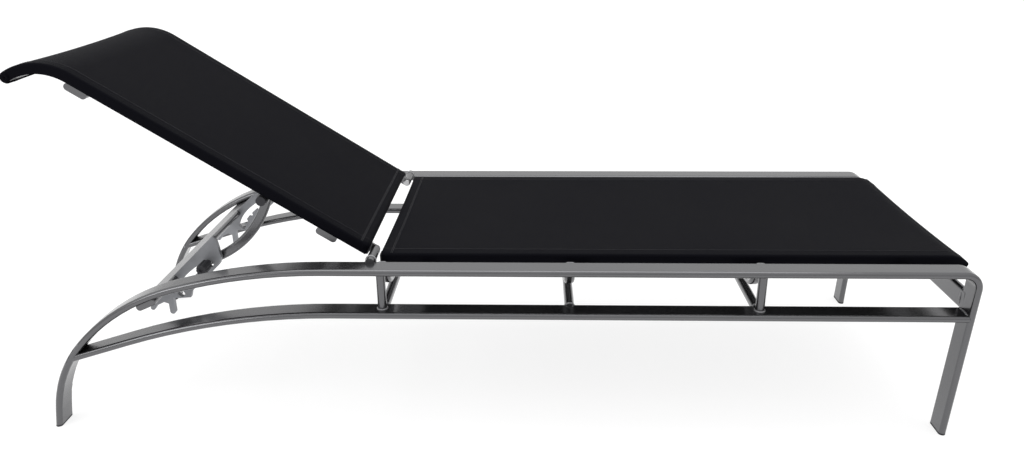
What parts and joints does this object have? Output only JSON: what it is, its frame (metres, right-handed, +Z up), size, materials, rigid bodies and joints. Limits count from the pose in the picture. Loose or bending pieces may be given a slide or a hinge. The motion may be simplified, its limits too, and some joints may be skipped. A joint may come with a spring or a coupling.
{
  "type": "sun lounger",
  "caption": "Reclining aluminium sun lounger with a black sling seat, a backrest that drops through notches on a pair of props, and bent flat-oval side frames.",
  "frame": {"origin": "on the floor under the middle of the base, halfway between its head and foot ends and between its two side frames", "axes": "+X towards the foot end, +Y towards the left of a person lying on it, +Z up"},
  "size_m": [1.8822, 0.66, 0.7547],
  "materials": {
    "frame_metal": "pewter grey powder coat, smooth and glossy",
    "casting_metal": "lighter grey, slightly grainy casting",
    "sling_fabric": "black coated mesh, fine open weave",
    "black_nylon": "moulded black nylon",
    "steel_fastener": "plain zinc-plated steel"
  },
  "bodies": {
    "base": {"foot_cross_member": "frame_metal", "foot_cross_tube": "frame_metal", "foot_seat_brace": "frame_metal", "foot_seat_spreader": "frame_metal", "head_cross_tube": "frame_metal", "head_seat_brace": "frame_metal", "head_seat_spreader": "frame_metal", "left_foot_glide": "black_nylon", "left_foot_post": "frame_metal", "left_head_glide": "black_nylon", "left_head_post": "frame_metal", "left_hinge_barrel": "frame_metal", "left_hinge_bolt": "steel_fastener", "left_lower_rail": "frame_metal", "left_notched_plate": "casting_metal", "left_seat_bracket_1": "frame_metal", "left_seat_bracket_2": "frame_metal", "left_seat_bracket_3": "frame_metal", "left_seat_bracket_4": "frame_metal", "left_seat_rail": "frame_metal", "left_side_frame": "frame_metal", "middle_cross_tube": "frame_metal", "middle_seat_brace": "frame_metal", "rack_bar": "frame_metal", "right_foot_glide": "black_nylon", "right_foot_post": "frame_metal", "right_head_glide": "black_nylon", "right_head_post": "frame_metal", "right_hinge_barrel": "frame_metal", "right_hinge_bolt": "steel_fastener", "right_lower_rail": "frame_metal", "right_notched_plate": "casting_metal", "right_seat_bracket_1": "frame_metal", "right_seat_bracket_2": "frame_metal", "right_seat_bracket_3": "frame_metal", "right_seat_bracket_4": "frame_metal", "right_seat_rail": "frame_metal", "right_side_frame": "frame_metal", "seat_sling": "sling_fabric"},
    "backrest": {"back_head_bar": "frame_metal", "back_sling": "sling_fabric", "left_back_rail": "frame_metal", "left_hinge_lug": "frame_metal", "left_prop_lug": "frame_metal", "lower_back_spreader": "frame_metal", "right_back_rail": "frame_metal", "right_hinge_lug": "frame_metal", "right_prop_lug": "frame_metal", "upper_back_spreader": "frame_metal"},
    "prop": {"left_prop_arm": "frame_metal", "left_prop_knob": "black_nylon", "left_prop_pin": "steel_fastener", "left_prop_shaft_cap": "black_nylon", "prop_shaft": "steel_fastener", "prop_tube": "frame_metal", "right_prop_arm": "frame_metal", "right_prop_knob": "black_nylon", "right_prop_pin": "steel_fastener", "right_prop_shaft_cap": "black_nylon"}
  },
  "joints": [
    {"name": "back_hinge", "type": "hinge", "parent": "base", "child": "backrest", "pos_m": [-0.25, 0, 0.367], "axis": [0, 1, 0], "range_deg": [-30, 0]},
    {"name": "prop_pivot", "type": "hinge", "parent": "backrest", "child": "prop", "pos_m": [-0.47268, 0, 0.4755], "axis": [0, 1, 0], "range_deg": [0, 52.5]}
  ],
  "couplings": [
    {"joint": "prop_pivot", "follows": "back_hinge", "ratio": -1.7278}
  ]
}
